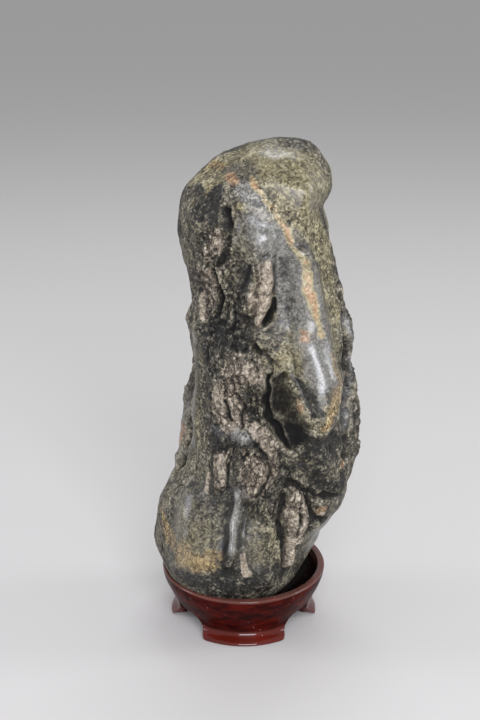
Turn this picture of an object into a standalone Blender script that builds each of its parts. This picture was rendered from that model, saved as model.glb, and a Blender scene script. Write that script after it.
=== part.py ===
"""Scholar's rock: a tall waxed stone resting in an oval carved wooden stand.

+X is to the right and -Y to the front, and the stand's feet are on the floor at z = 0. Lengths are in
millimetres until they are put into a mesh. The shapes are worked out about the stand's own axis, which is then
set a little left of the origin, so that the whole object is centred on it.
"""

import math

import bmesh
import bpy
import numpy as np
from mathutils import Matrix

MM = 0.001

# Driving dimensions.
STAND_AXIS = (-6.1, 1.7)  # where the stand's axis meets the floor
SEAT_GAP = 0.4  # clearance between the stone and the seat carved for it

RIM_HALF_WIDTH = 39.1
RIM_HALF_DEPTH = 46.8
STRETCH = RIM_HALF_DEPTH / RIM_HALF_WIDTH  # the stand is round, stretched from front to back
RIM_HEIGHT = 25.0
DISH_FLOOR = 8.6
LIP_WIDTH = 3.4
WAIST_HALF_WIDTH = 31.8  # the narrow neck between the dish and the flared toe
WAIST_HEIGHT = 4.6
TOE_HALF_WIDTH = 35.2
HOLLOW_HALF_WIDTH = 28.0
HOLLOW_HEIGHT = 5.6
ARCH_HEIGHT = 10.5  # the arched gaps between the three feet
ARCHES = ((55.5, 27.0), (180.0, 35.0), (-55.5, 27.0))  # turn of each one's middle, and its reach, in degrees
ARCH_FLAT = 0.3  # share of the reach over which an arch keeps its full height
ARCH_SINK = 0.15  # how far under the floor an arch's two ends start
ARCH_INSIDE = 26.5  # from the stand's axis to where the arches are cut in to
ARCH_OUTSIDE = 50.0

ARCH_STEPS = 20
STAND_STEPS = 54
STONE_MERIDIANS = 160
STONE_PARALLELS = 200
STONE_TRIANGLES = 7000
SEAT_MERIDIANS = 48
SEAT_PARALLELS = 60

# Level sections of the stone: height, left, right, front and back of each, from the underside to the crown.
SECTIONS = np.array([
    (10.0, -4.0, -4.0, -3.0, -3.0),
    (11.0, -14.0, 6.5, -16.0, 12.0),
    (15.0, -26.0, 16.5, -30.5, 26.0),
    (20.0, -32.5, 22.8, -38.3, 33.0),
    (26.0, -37.6, 27.2, -43.2, 38.0),
    (37.0, -42.4, 32.0, -46.0, 42.0),
    (48.0, -41.0, 36.8, -45.4, 43.0),
    (56.0, -39.4, 44.2, -44.4, 42.5),
    (62.0, -37.2, 47.6, -43.2, 41.5),
    (68.0, -33.0, 47.6, -42.0, 40.5),
    (75.0, -28.0, 50.6, -40.5, 39.0),
    (87.0, -25.6, 52.2, -38.0, 35.0),
    (102.0, -25.0, 51.6, -35.8, 31.0),
    (115.0, -24.0, 49.0, -34.0, 28.5),
    (127.0, -22.8, 46.6, -32.8, 27.0),
    (139.0, -25.8, 48.8, -31.8, 27.0),
    (149.0, -26.8, 46.8, -31.2, 28.5),
    (156.0, -24.0, 45.0, -31.2, 30.0),
    (166.0, -25.0, 42.4, -32.0, 32.0),
    (177.0, -28.6, 40.0, -33.4, 34.0),
    (189.0, -30.6, 38.2, -34.2, 35.0),
    (200.0, -29.6, 36.6, -33.6, 34.0),
    (208.0, -25.4, 40.0, -31.8, 32.0),
    (215.0, -18.2, 39.0, -28.6, 28.0),
    (221.0, -8.8, 35.2, -23.6, 22.0),
    (225.5, 0.5, 30.8, -17.5, 15.0),
    (228.2, 10.5, 26.5, -9.0, 7.0),
    (229.4, 20.0, 20.0, -1.0, -1.0),
])

# Forms on the front, each drawn along a path: height, sharpness of its edge, and points of (x, z, half width).
FRONT_LOBES = {
    "shoulder": (5.5, 1.4, [(-18, 209, 9.5), (-18.5, 199, 12), (-17.5, 188, 10.5), (-16, 177, 5.5)]),
    "knob": (3.0, 2.0, [(26, 222, 12), (28, 213, 12)]),
    "upper arm": (6.5, 1.6, [(25, 210, 12), (22, 194, 13), (25, 176, 12)]),
    "arm": (10.5, 1.1, [(22.5, 184, 7), (26, 171, 11), (29.5, 155, 12.5), (31.5, 139, 13),
                        (32.5, 123, 12.5), (32.5, 109, 11.5), (31, 102, 8)]),
    "forearm": (7.5, 1.2, [(13.5, 134, 2), (17.5, 126, 4.5), (21, 116, 6.5), (25.5, 105, 9),
                           (30.5, 94, 11.5), (33.5, 86, 9.5)]),
    "heart": (7.5, 1.3, [(6, 189, 12), (5.5, 181, 12), (2.5, 169, 10.5), (1, 158, 8)]),
    "heart ridge": (9.5, 1.3, [(3, 172, 3.2), (4.5, 164, 4), (4, 157, 3.5)]),
    "tongue": (9.0, 0.8, [(8.5, 180, 3.5), (9, 172, 4.8), (8.8, 163, 4.8), (8, 156, 3.8), (7, 152.5, 2.8)]),
    "column": (3.5, 2.0, [(-18, 172, 7.5), (-18.5, 159, 7.5), (-18.5, 148, 8), (-17, 139, 8)]),
    "face": (6.5, 1.5, [(-3.5, 143, 12), (-5, 128, 17), (-6.5, 113, 18.5), (-5.5, 100, 20), (-2.5, 87, 20)]),
    "edge": (4.0, 2.0, [(-23.5, 131, 4), (-23.5, 118, 5), (-24.5, 97, 5.5), (-24.5, 85, 5), (-25, 75, 4.5)]),
    "foot": (5.5, 2.0, [(-25, 67, 15), (-25.5, 55, 18), (-23, 45, 17)]),
    "rib": (7.5, 1.3, [(-0.5, 76, 3), (-2, 68, 4), (-3.5, 60, 5), (-5, 51, 5), (-6, 44, 4)]),
    "instep": (4.5, 2.0, [(8, 72, 8.5), (8.5, 57, 10), (8, 41, 9.5)]),
    "flake lobe": (6.0, 1.2, [(24, 72, 4.5), (25, 62, 7), (23, 48, 6), (20.5, 39, 4)]),
    "hip": (5.0, 1.4, [(43.5, 72, 6), (37, 67, 4.5)]),
}

# Wide forms that the others ride on, in the same terms.
FRONT_SWELLS = {
    "belly": (5.0, 1.6, [(31, 122, 19), (32, 111, 17)]),
}

# Grooves and cracks: depth, and points of (x, z, half width).
FRONT_GROOVES = {
    "shoulder fissure": (3.2, [(-8, 203, 1.6), (-8, 197, 2.2), (-7.5, 189, 1.8), (-8, 183, 1.6),
                               (-10.5, 178, 1.2)]),
    "column fissure": (4.5, [(-12.5, 175, 1.2), (-11.5, 168, 1.8), (-11, 161, 1.6), (-12, 153, 1.2)]),
    "tongue cave": (5.5, [(13, 165, 1.2), (12, 159, 2), (10.2, 154.5, 2.2), (8, 150.5, 1.5)]),
    "tongue side": (1.8, [(12, 182, 1.2), (13.5, 174, 1.5), (13.5, 165, 1.5)]),
    "arm side": (2.5, [(15, 180, 1.4), (16.5, 172, 1.8), (18.5, 163, 2.2), (20.5, 154, 2.2)]),
    "main cleft": (8.5, [(12.5, 133, 0.9), (13, 129, 1.1), (12, 124, 1.4), (11.5, 118, 1.7),
                         (11.8, 112, 1.9), (13.5, 107, 2.1), (16.2, 101, 2.1), (19.5, 97, 1.7),
                         (22, 94, 1.1)]),
    "cleft slope": (5.5, [(17, 128, 2.5), (18, 121, 3.6), (18.5, 113, 4.2), (20.5, 106, 4.2),
                          (23.5, 100, 3.4)]),
    "arm crossing": (1.6, [(2.5, 146, 0.8), (6, 142, 1), (10.5, 139, 1.1), (13, 136, 1.1),
                           (16.5, 129, 1.2), (19, 126, 0.9)]),
    "hip crack": (5.5, [(19.5, 80.5, 1), (24, 77.5, 1.4), (30, 74.5, 1.7), (36.5, 70.5, 1.7),
                        (42, 67, 1.4)]),
    "flake right": (2.8, [(27, 73, 1.2), (30.5, 68, 1.5), (32, 62, 1.6), (36, 57, 1.6)]),
    "flake left": (2.4, [(17.5, 73, 1.4), (16, 63, 1.8), (18.5, 51, 1.8), (19, 39, 1.6)]),
    "arm back": (3.5, [(43.5, 158, 2), (45.5, 141, 2.2), (46.5, 122, 2.5), (46.5, 104, 2.5),
                       (46.5, 88, 2.2)]),
    "rib valley": (1.0, [(-6.5, 69, 2.5), (-9, 58, 2.6), (-8, 49, 2.6), (-6, 38, 2.5)]),
}

# Forms on the sides and the back, with points of (turn from the front in degrees, z, half width).
SIDE_LOBES = {
    "right ridge": (3.0, 2.0, [(88, 152, 9), (96, 128, 12), (98, 104, 14), (96, 84, 13), (92, 70, 9)]),
    "left buttress": (8.5, 2.0, [(-112, 128, 7), (-108, 112, 11), (-106, 92, 12), (-104, 74, 13)]),
    "spine": (8.0, 1.6, [(158, 208, 14), (165, 182, 15), (182, 150, 14), (200, 118, 15), (208, 86, 18),
                         (200, 56, 21)]),
    "right shoulder": (6.0, 1.7, [(112, 196, 15), (124, 172, 14), (134, 140, 12), (140, 112, 12)]),
    "right haunch": (6.0, 1.7, [(150, 92, 13), (142, 66, 20), (132, 44, 18)]),
    "left shoulder": (6.0, 1.7, [(-138, 206, 15), (-122, 184, 17), (-118, 160, 12)]),
    "left haunch": (5.0, 2.0, [(-120, 64, 18), (-134, 44, 19)]),
    "cheek": (4.0, 1.8, [(66, 192, 11), (82, 172, 13), (88, 156, 10)]),
    "heel": (4.0, 2.0, [(70, 50, 16), (90, 42, 19), (104, 50, 15)]),
}
SIDE_GROOVES = {
    "back hollow": (8.0, [(146, 176, 4), (158, 160, 8), (170, 136, 9), (168, 116, 7), (160, 98, 4)]),
    "back cleft": (6.5, [(-158, 196, 3), (-148, 176, 5), (-152, 152, 7), (-142, 130, 6), (-148, 104, 3)]),
    "right cleft": (7.0, [(106, 164, 3), (114, 140, 5), (112, 120, 4), (122, 98, 5), (116, 74, 3)]),
    "left slot": (8.0, [(-88, 128, 2.5), (-86, 108, 4.5), (-87, 90, 5), (-92, 70, 3)]),
    "left hollow": (6.0, [(-88, 172, 3), (-98, 156, 6), (-94, 142, 5)]),
    "upper pit": (5.0, [(214, 158, 5), (220, 150, 4)]),
    "lower pit": (5.0, [(118, 92, 4), (128, 84, 6)]),
    "low fissure": (4.0, [(176, 84, 3), (170, 66, 5), (178, 50, 4), (172, 38, 2)]),
}

# Faces where the stone splits into thin plates, as (x, z, half width) and (turn, z, half width).
FRONT_FLAKING = [(-13, 188, 9), (-14, 165, 9), (-7, 148, 12), (-4, 118, 16), (0, 88, 18), (22, 68, 13),
                 (28, 62, 10)]
SIDE_FLAKING = [(98, 150, 12), (102, 100, 20), (160, 124, 22), (212, 140, 22), (250, 120, 16)]

# Softer unevenness: (size of a lump, its height, seed).
LUMPS = ((26.0, 1.6, 11), (11.0, 1.0, 23), (5.5, 0.4, 37))
LEDGE_STEP = 1.1  # height of a broken edge on the flaking faces
LEDGE_SIZE = 9.0  # width of a plate, which is taller than it is wide
LEDGE_STRETCH = 2.2
WANDER_SIZE = 11.0  # how the paths wander, more so at the back
FRONT_WANDER = 1.3
BACK_WANDER = 3.6
LOBE_BLEND = 1.0
GROOVE_REACH = 1.7  # how far a groove reaches, in half widths
GROOVE_SHARPNESS = 2.2
SEATED_BELOW = 24.0  # the stone is worn smooth where it sits in the dish
SEATED_BLEND = 9.0


# The stone's surface.
def smooth_step(low, high, value):
    f = np.clip((value - low) / (high - low), 0, 1)
    return f * f * (3 - 2 * f)


def curve_through(at, knots, values):
    """Smooth curve through the values: cubic pieces with the mean slope of the neighbours at each knot."""
    slopes = np.gradient(values, knots)
    i = np.clip(np.searchsorted(knots, at, side="right") - 1, 0, len(knots) - 2)
    span = knots[i + 1] - knots[i]
    f = (at - knots[i]) / span
    ends = values[i] * (1 + 2 * f) * (1 - f) ** 2 + values[i + 1] * f * f * (3 - 2 * f)
    return ends + span * (slopes[i] * f * (1 - f) ** 2 - slopes[i + 1] * f * f * (1 - f))


def section_levels():
    """Each section's level, from 0 at the underside to 1 at the crown, by its distance along the surface."""
    half = (SECTIONS[:, 2] - SECTIONS[:, 1] + SECTIONS[:, 4] - SECTIONS[:, 3]) / 4
    steps = np.hypot(np.diff(SECTIONS[:, 0]), np.diff(half))
    run = np.concatenate([[0.0], np.cumsum(steps)])
    return run / run[-1]


def plain_body(turn, level):
    """Ellipses through the sections' left, front, right and back, stacked from the underside to the crown."""
    levels = section_levels()
    z, left, right, front, back = (curve_through(level, levels, SECTIONS[:, k]) for k in range(5))
    x = (left + right) / 2 + (right - left) / 2 * np.sin(turn)
    y = (front + back) / 2 - (back - front) / 2 * np.cos(turn)
    return np.stack(np.broadcast_arrays(x, y, z), axis=-1)


def outward(turn, level):
    """Unit normals of the plain body, from its slopes along the turn and the level."""
    step = 0.002
    low = np.clip(level - step, 0, 1)
    high = np.clip(level + step, 0, 1)
    across = plain_body(turn + step, level) - plain_body(turn - step, level)
    along = plain_body(turn, high) - plain_body(turn, low)
    normal = np.cross(across, along)
    length = np.linalg.norm(normal, axis=-1, keepdims=True)
    pole = np.zeros_like(normal)
    pole[..., 2] = np.where(level > 0.5, 1.0, -1.0)
    return np.where(length > 1e-7, normal / np.maximum(length, 1e-7), pole)


def lumps(points, size, seed):
    """Smooth random heights from -1 to 1, with one value per cell corner of the given size."""
    cells = 24
    table = np.random.default_rng(seed).uniform(-1, 1, (cells, cells, cells))
    q = points / size
    corner = np.floor(q).astype(int)
    f = q - corner
    f = f * f * (3 - 2 * f)
    total = np.zeros(points.shape[:-1])
    for dx in (0, 1):
        for dy in (0, 1):
            for dz in (0, 1):
                i, j, k = ((corner[..., n] + d) % cells for n, d in enumerate((dx, dy, dz)))
                share = np.ones_like(total)
                for n, d in enumerate((dx, dy, dz)):
                    share = share * (f[..., n] if d else 1 - f[..., n])
                total += share * table[i, j, k]
    return total


def path_distance(points, path):
    """Distance to a path of (point, half width), as a share of the half width there."""
    nearest = np.full(points.shape[:-1], 1e9)
    for (a, wide_a), (b, wide_b) in zip(path[:-1], path[1:]):
        run = b - a
        f = np.clip((points - a) @ run / (run @ run), 0, 1)
        gap = np.linalg.norm(points - a - f[..., None] * run, axis=-1)
        nearest = np.minimum(nearest, gap / (wide_a + (wide_b - wide_a) * f))
    return nearest


class Anchors:
    """Finds the point of the plain body at a place on its front, or at a turn and a height."""

    def __init__(self):
        self.turns = np.radians(np.arange(0, 360, 1.0))
        self.grid = plain_body(self.turns[:, None], np.linspace(0, 1, 600)[None, :])
        self.is_front = (np.cos(self.turns) > -0.1)[:, None]

    def front(self, x, z):
        miss = (self.grid[..., 0] - x) ** 2 + (self.grid[..., 2] - z) ** 2
        miss = np.where(self.is_front, miss, 1e9)
        return self.grid[np.unravel_index(np.argmin(miss), miss.shape)]

    def side(self, turn, z):
        column = self.grid[int(round(turn)) % 360]
        return column[np.argmin(np.abs(column[:, 2] - z))]


def stone_surface(turn, level, swell=0.0):
    """The plain body pushed out by lobes, cut by grooves and broken by ledges and lumps."""
    plain = plain_body(turn, level)
    normal = outward(turn, level)
    if swell:
        return plain + normal * swell
    anchors = Anchors()
    wander = np.stack([lumps(plain, WANDER_SIZE, seed) for seed in (3, 5, 7)], axis=-1)
    reach = FRONT_WANDER + (BACK_WANDER - FRONT_WANDER) * smooth_step(0.3, -0.3, np.cos(turn))
    at = plain + reach[..., None] * wander
    facing_front = smooth_step(0.0, 0.45, np.abs(np.cos(turn)))
    raised = [np.zeros(plain.shape[:-1])]
    cut = np.zeros(plain.shape[:-1])
    for lobes, place, share in ((FRONT_LOBES, anchors.front, facing_front), (SIDE_LOBES, anchors.side, 1.0)):
        for height, edge, path in lobes.values():
            t = path_distance(at, [(place(a, z), wide) for a, z, wide in path])
            raised.append(height * np.clip(1 - t * t, 0, 1) ** edge * share)
    for grooves, place in ((FRONT_GROOVES, anchors.front), (SIDE_GROOVES, anchors.side)):
        for depth, path in grooves.values():
            t = path_distance(at, [(place(a, z), wide) for a, z, wide in path])
            cut = np.maximum(cut, depth * (1 - np.clip(t / GROOVE_REACH, 0, 1) ** 2) ** GROOVE_SHARPNESS)
    raised = np.stack(raised)
    top = raised.max(axis=0)
    blend = LOBE_BLEND * (np.log(np.exp((raised - top) / LOBE_BLEND).sum(axis=0)) - math.log(len(raised)))
    uneven = sum(height * lumps(plain, size, seed) for size, height, seed in LUMPS)
    for height, edge, path in FRONT_SWELLS.values():
        t = path_distance(at, [(anchors.front(a, z), wide) for a, z, wide in path])
        uneven = uneven + height * np.clip(1 - t * t, 0, 1) ** edge * facing_front
    plates = [(anchors.front(x, z), wide) for x, z, wide in FRONT_FLAKING]
    more_plates = [(anchors.side(turn_at, z), wide) for turn_at, z, wide in SIDE_FLAKING]
    flaking = smooth_step(1.15, 0.75, np.minimum(path_distance(at, plates), path_distance(at, more_plates)))
    terrace = 3.6 * lumps(at / (1.0, 1.0, LEDGE_STRETCH), LEDGE_SIZE, 61)
    level_of_plate = np.floor(terrace) + smooth_step(0.0, 0.3, terrace - np.floor(terrace))
    relief = top + blend - cut + uneven + LEDGE_STEP * flaking * level_of_plate
    free = smooth_step(SEATED_BELOW, SEATED_BELOW + SEATED_BLEND, plain[..., 2])
    return plain + normal * (relief * free)[..., None]


# Meshes and materials.
def make_material(name, colour, roughness):
    material = bpy.data.materials.new(name)
    material.use_nodes = True
    shader = material.node_tree.nodes["Principled BSDF"]
    shader.inputs["Base Color"].default_value = (*colour, 1.0)
    shader.inputs["Roughness"].default_value = roughness
    shader.inputs["Metallic"].default_value = 0.0
    return material


def add_object(name, mesh, collection, parent, material=None):
    piece = bpy.data.objects.new(name, mesh)
    collection.objects.link(piece)
    piece.parent = parent
    if material:
        mesh.materials.append(material)
    return piece


def mesh_from(shape, name):
    mesh = bpy.data.meshes.new(name)
    shape.to_mesh(mesh)
    shape.free()
    return mesh


def stone_mesh(name, meridians, parallels, swell=0.0):
    """A sphere whose points are moved onto the stone's surface at their own turn and level."""
    shape = bmesh.new()
    bmesh.ops.create_uvsphere(shape, u_segments=meridians, v_segments=parallels, radius=1.0)
    mesh = mesh_from(shape, name)
    points = np.empty(len(mesh.vertices) * 3)
    mesh.vertices.foreach_get("co", points)
    x, y, z = points.reshape(-1, 3).T
    turn = np.arctan2(x, -y)
    level = 1 - np.arccos(np.clip(z, -1, 1)) / math.pi
    placed = stone_surface(turn, level, swell) * MM
    mesh.vertices.foreach_set("co", placed.ravel())
    mesh.shade_smooth()
    return mesh


def build_stone(collection, parent, material):
    mesh = stone_mesh("stone", STONE_MERIDIANS, STONE_PARALLELS)
    piece = add_object("stone", mesh, collection, parent, material)
    fine_triangles = 2 * STONE_MERIDIANS * (STONE_PARALLELS - 1)
    facets = piece.modifiers.new("Facets", "DECIMATE")
    facets.ratio = STONE_TRIANGLES / fine_triangles
    return piece


def stand_profile():
    """Half of the stand's outline, from the middle of the dish over the lip, down the outside, under the
    feet and up into the hollow."""
    lip_in = RIM_HALF_WIDTH - LIP_WIDTH
    dish = [(0.0, DISH_FLOOR), (14.0, DISH_FLOOR + 0.4), (22.0, DISH_FLOOR + 2.2), (28.5, 14.6), (32.5, 18.4),
            (34.8, 22.0), (lip_in, RIM_HEIGHT - 0.6)]
    lip = [(lip_in + 0.7, RIM_HEIGHT), (RIM_HALF_WIDTH - 0.7, RIM_HEIGHT), (RIM_HALF_WIDTH, RIM_HEIGHT - 0.7)]
    flank = [(RIM_HALF_WIDTH - 0.5, 21.2), (37.1, 17.4), (35.3, 13.8), (33.6, 10.6), (32.4, 8.2)]
    toe = [(WAIST_HALF_WIDTH, WAIST_HEIGHT + 1.4), (WAIST_HALF_WIDTH, WAIST_HEIGHT),
           (WAIST_HALF_WIDTH + 1.2, WAIST_HEIGHT - 1.5), (TOE_HALF_WIDTH - 0.5, 1.6), (TOE_HALF_WIDTH, 0.8),
           (TOE_HALF_WIDTH - 0.5, 0.0)]
    hollow = [(HOLLOW_HALF_WIDTH, 0.0), (HOLLOW_HALF_WIDTH - 0.5, HOLLOW_HEIGHT - 1.0),
              (HOLLOW_HALF_WIDTH - 1.5, HOLLOW_HEIGHT), (0.0, HOLLOW_HEIGHT)]
    return dish + lip + flank + toe + hollow


def turned_mesh(profile, steps, name):
    """The profile turned about the stand's axis and stretched from front to back."""
    mesh = bpy.data.meshes.new(name)
    points = [(r * MM, 0.0, z * MM) for r, z in profile]
    mesh.from_pydata(points, [(i, i + 1) for i in range(len(points) - 1)], [])
    outline = bpy.data.objects.new(name, mesh)
    bpy.context.scene.collection.objects.link(outline)
    screw = outline.modifiers.new("Turn", "SCREW")
    screw.steps = steps
    screw.render_steps = steps
    screw.use_merge_vertices = True
    screw.merge_threshold = 0.00001
    graph = bpy.context.evaluated_depsgraph_get()
    turned = bpy.data.meshes.new_from_object(outline.evaluated_get(graph))
    turned.name = name
    bpy.data.objects.remove(outline)
    places = np.empty(len(turned.vertices) * 3)
    turned.vertices.foreach_get("co", places)
    turned.vertices.foreach_set("co", (places.reshape(-1, 3) * (1.0, STRETCH, 1.0)).ravel())
    return turned


def arch_mesh(reach):
    """A bar bent round the stand's front, whose top rises and falls over the gap between two feet."""
    shape = bmesh.new()
    bmesh.ops.create_cube(shape, size=2.0)
    lengthwise = [edge for edge in shape.edges if abs(edge.verts[0].co.x - edge.verts[1].co.x) > 1.0]
    bmesh.ops.subdivide_edges(shape, edges=lengthwise, cuts=ARCH_STEPS - 1, use_grid_fill=True)
    for vertex in shape.verts:
        along, inward, upper = vertex.co
        turn = math.radians(reach * along)
        radius = (ARCH_INSIDE if inward > 0 else ARCH_OUTSIDE) * MM
        rise = (ARCH_HEIGHT + ARCH_SINK) * float(smooth_step(1.0, ARCH_FLAT, abs(along))) - ARCH_SINK
        height = (rise if upper > 0 else -ARCH_HEIGHT) * MM
        vertex.co = (radius * math.sin(turn), -radius * math.cos(turn), height)
    return mesh_from(shape, "arch")


def as_cutter(piece):
    piece.hide_render = True
    piece.display_type = "WIRE"
    return piece


def build_stand(collection, cutters, parent, material):
    mesh = turned_mesh(stand_profile(), STAND_STEPS, "stand")
    mesh.shade_smooth()
    piece = add_object("stand", mesh, collection, parent, material)
    tools = []
    lengthen = Matrix.Diagonal((1.0, STRETCH, 1.0, 1.0))
    for number, (middle, reach) in enumerate(ARCHES, start=1):
        mesh = arch_mesh(reach)
        mesh.transform(lengthen @ Matrix.Rotation(math.radians(middle), 4, "Z"))
        tools.append(add_object(f"arch_cutter_{number}", mesh, cutters, parent))
    tools.append(add_object("seat_cutter", stone_mesh("seat", SEAT_MERIDIANS, SEAT_PARALLELS, SEAT_GAP),
                            cutters, parent))
    for tool in tools:
        cut = piece.modifiers.new(tool.name, "BOOLEAN")
        cut.operation = "DIFFERENCE"
        cut.solver = "EXACT"
        cut.object = as_cutter(tool)
    return piece


def main():
    for old in list(bpy.data.objects):
        bpy.data.objects.remove(old)
    rock = bpy.data.collections.new("scholars_rock")
    cutters = bpy.data.collections.new("cutters")
    for collection in (rock, cutters):
        bpy.context.scene.collection.children.link(collection)
    axis = bpy.data.objects.new("stand_axis", None)
    rock.objects.link(axis)
    axis.location = (STAND_AXIS[0] * MM, STAND_AXIS[1] * MM, 0.0)
    build_stone(rock, axis, make_material("waxed stone", (0.085, 0.085, 0.075), 0.35))
    build_stand(rock, cutters, axis, make_material("lacquered rosewood", (0.12, 0.012, 0.006), 0.22))


main()
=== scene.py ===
import math

import bpy
import numpy as np
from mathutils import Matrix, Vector


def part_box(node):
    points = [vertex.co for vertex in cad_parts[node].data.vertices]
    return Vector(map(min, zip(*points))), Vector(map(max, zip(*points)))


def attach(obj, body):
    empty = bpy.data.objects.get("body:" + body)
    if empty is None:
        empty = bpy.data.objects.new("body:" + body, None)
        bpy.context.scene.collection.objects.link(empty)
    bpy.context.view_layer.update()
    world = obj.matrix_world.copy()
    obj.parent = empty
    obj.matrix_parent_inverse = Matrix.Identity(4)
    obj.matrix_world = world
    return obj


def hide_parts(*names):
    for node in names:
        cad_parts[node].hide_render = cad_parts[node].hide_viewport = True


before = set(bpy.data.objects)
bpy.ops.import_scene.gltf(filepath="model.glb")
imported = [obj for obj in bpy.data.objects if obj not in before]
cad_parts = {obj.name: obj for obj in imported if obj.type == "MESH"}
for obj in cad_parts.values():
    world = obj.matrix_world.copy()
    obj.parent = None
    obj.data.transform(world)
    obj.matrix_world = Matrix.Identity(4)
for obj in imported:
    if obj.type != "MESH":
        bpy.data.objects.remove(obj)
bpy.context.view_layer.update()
print("frame loaded:", sorted(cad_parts))

mm = 0.001
standLow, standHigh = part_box("stand")
standAxis = ((standLow[0] + standHigh[0]) / 2, (standLow[1] + standHigh[1]) / 2, 0.0)  # metres, on the floor


def linear(hexColour):
    # sRGB hex to the linear values that a shader works in
    values = [int(hexColour[i:i + 2], 16) / 255 for i in (1, 3, 5)]
    return [v / 12.92 if v <= 0.04045 else ((v + 0.055) / 1.055) ** 2.4 for v in values] + [1.0]


def perMm(size):
    # pattern scale on coordinates in metres for features of this many millimetres
    return 1 / (size * mm)


def smoothStep(low, high, value):
    # 0 below low, 1 above high, with a soft S between them
    f = np.clip((value - low) / (high - low), 0, 1)
    return f * f * (3 - 2 * f)


def curveThrough(at, knots, values):
    # smooth curve through the values: cubic pieces with the neighbours' mean slope at each knot
    slopes = np.gradient(values, knots)
    i = np.clip(np.searchsorted(knots, at, side="right") - 1, 0, len(knots) - 2)
    span = knots[i + 1] - knots[i]
    f = (at - knots[i]) / span
    ends = values[i] * (1 + 2 * f) * (1 - f) ** 2 + values[i + 1] * f * f * (3 - 2 * f)
    return ends + span * (slopes[i] * f * (1 - f) ** 2 - slopes[i + 1] * f * f * (1 - f))


def lumps(points, size, seed):
    # smooth random heights from -1 to 1: one value per corner of cubes of this size, blended between corners
    count = 24
    table = np.random.default_rng(seed).uniform(-1, 1, (count, count, count))
    q = points / size
    corner = np.floor(q).astype(int)
    f = q - corner
    f = f * f * (3 - 2 * f)
    total = np.zeros(points.shape[:-1])
    for shift in np.ndindex(2, 2, 2):
        i, j, k = ((corner[..., n] + d) % count for n, d in enumerate(shift))
        share = np.ones_like(total)
        for n, d in enumerate(shift):
            share = share * (f[..., n] if d else 1 - f[..., n])
        total += share * table[i, j, k]
    return total


def lumpShift(points, size, seeds):
    # three fields of lumps as one random vector at each place
    return np.stack([lumps(points, size, seed) for seed in seeds], axis=-1)


def cells(points, size, seed):
    # irregular cells of about this size, one round each jittered point of a lattice: how far inside its
    # cell's edge a place is, one random value for the cell, and the distance from its middle, in cell sizes
    count = 24
    rng = np.random.default_rng(seed)
    jitter = rng.uniform(0, 1, (count, count, count, 3))
    values = rng.uniform(-1, 1, (count, count, count))
    q = points / size
    corner = np.floor(q).astype(int)
    nearest = np.full(points.shape[:-1], 9.0)
    second = np.full(points.shape[:-1], 9.0)
    worth = np.zeros(points.shape[:-1])
    for shift in np.ndindex(3, 3, 3):
        cell = corner + np.array(shift) - 1
        i, j, k = np.moveaxis(cell % count, -1, 0)
        away = np.linalg.norm(cell + jitter[i, j, k] - q, axis=-1)
        second = np.minimum(second, np.maximum(nearest, away))
        worth = np.where(away < nearest, values[i, j, k], worth)
        nearest = np.minimum(nearest, away)
    return second - nearest, worth, nearest


def pathDistance(points, path):
    # distance to a path of (point, half width) as a share of the half width at the nearest place
    if len(path) == 1:
        return np.linalg.norm(points - path[0][0], axis=-1) / path[0][1]
    nearest = np.full(points.shape[:-1], np.inf)
    for (a, wideA), (b, wideB) in zip(path[:-1], path[1:]):
        run = b - a
        f = np.clip((points - a) @ run / (run @ run), 0, 1)
        gap = np.linalg.norm(points - a - f[..., None] * run, axis=-1)
        nearest = np.minimum(nearest, gap / (wideA + (wideB - wideA) * f))
    return nearest


def softened(values, reach):
    # mean over this many rings and turns to each side
    steps = range(-reach, reach + 1)
    around = sum(np.roll(values, step, axis=1) for step in steps) / len(steps)
    padded = np.pad(around, ((reach, reach), (0, 0)), mode="edge")
    return sum(padded[reach + step:reach + step + len(values)] for step in steps) / len(steps)


def closedSurface(name, rings, attributes):
    # rings[k, j] is point j of ring k; the first and last rings are single points, and each ring is closed
    rows, columns = rings.shape[:2]
    inner = rings[1:-1].reshape(-1, 3)
    points = np.concatenate([rings[0, :1], inner, rings[-1, :1]]) * mm + np.array(standAxis)
    j = np.arange(columns)
    after = (j + 1) % columns
    first = 1 + np.arange(rows - 3)[:, None] * columns
    quads = np.stack([first + j, first + after, first + after + columns, first + j + columns], axis=-1)
    lastRing = 1 + (rows - 3) * columns
    startFan = np.stack([np.zeros_like(j), 1 + after, 1 + j], axis=-1)
    endFan = np.stack([np.full_like(j, len(points) - 1), lastRing + j, lastRing + after], axis=-1)
    corners = np.concatenate([quads.ravel(), startFan.ravel(), endFan.ravel()])
    sizes = np.concatenate([np.full(quads.size // 4, 4), np.full(2 * columns, 3)])
    mesh = bpy.data.meshes.new(name)
    mesh.vertices.add(len(points))
    mesh.vertices.foreach_set("co", points.ravel())
    mesh.loops.add(len(corners))
    mesh.loops.foreach_set("vertex_index", corners)
    mesh.polygons.add(len(sizes))
    mesh.polygons.foreach_set("loop_start", np.concatenate([[0], np.cumsum(sizes)[:-1]]))
    mesh.update(calc_edges=True)
    mesh.validate()
    mesh.shade_smooth()
    for label, values in attributes.items():
        layer = mesh.attributes.new(label, "FLOAT", "POINT")
        flat = np.concatenate([values[0, :1], values[1:-1].ravel(), values[-1, :1]])
        layer.data.foreach_set("value", flat.astype(np.float32))
    piece = bpy.data.objects.new(name, mesh)
    bpy.context.scene.collection.objects.link(piece)
    return piece


def addNode(tree, kind, links, stops=(), **settings):
    # one shader node with its settings and colour stops; each link is a socket, a value or a hex colour
    node = tree.nodes.new(kind)
    for key, value in settings.items():
        setattr(node, key, value)
    for key, value in links.items():
        if isinstance(value, bpy.types.NodeSocket):
            tree.links.new(value, node.inputs[key])
        else:
            node.inputs[key].default_value = linear(value) if isinstance(value, str) else value
    if stops:
        elements = node.color_ramp.elements
        while len(elements) < len(stops):
            elements.new(0.5)
        for element, (position, colour) in zip(elements, stops):
            element.position = position
            element.color = linear(colour)
    return node.outputs


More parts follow.
